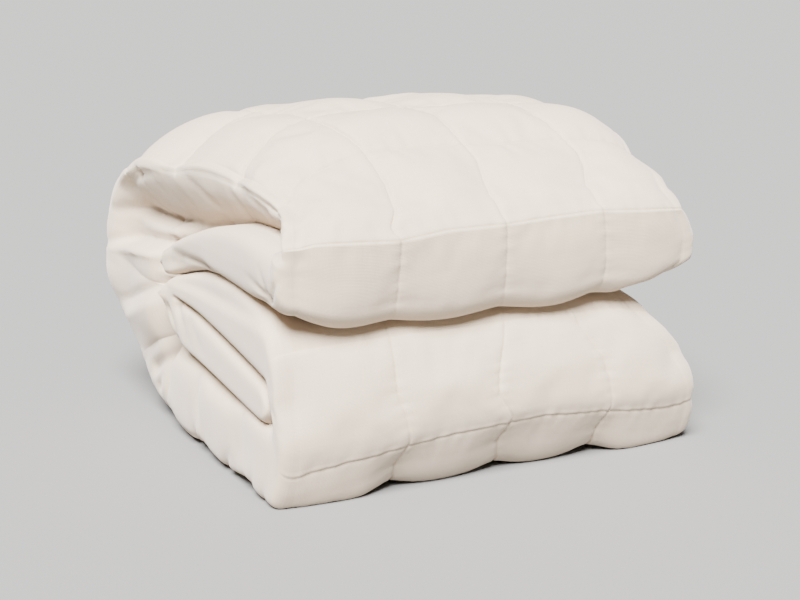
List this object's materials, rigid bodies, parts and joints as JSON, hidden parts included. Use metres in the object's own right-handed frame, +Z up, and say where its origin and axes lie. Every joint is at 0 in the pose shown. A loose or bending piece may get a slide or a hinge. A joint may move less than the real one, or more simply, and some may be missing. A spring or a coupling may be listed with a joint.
{
  "type": "weighted blanket",
  "caption": "Filled blanket, box-stitched in squares and folded back and forth into a compact stack with soft rounded front folds.",
  "frame": {"origin": "centre of the folded stack's bounding box, at the height of the surface it rests on", "axes": "+X along the front folds to the right, +Y from the front folds to the wide back turn, +Z up"},
  "size_m": [0.42, 0.4228, 0.2898],
  "materials": {
    "cover": "matt off-white, fine plain weave, stitched in squares"
  },
  "bodies": {
    "root": {"blanket": "cover"}
  },
  "joints": []
}
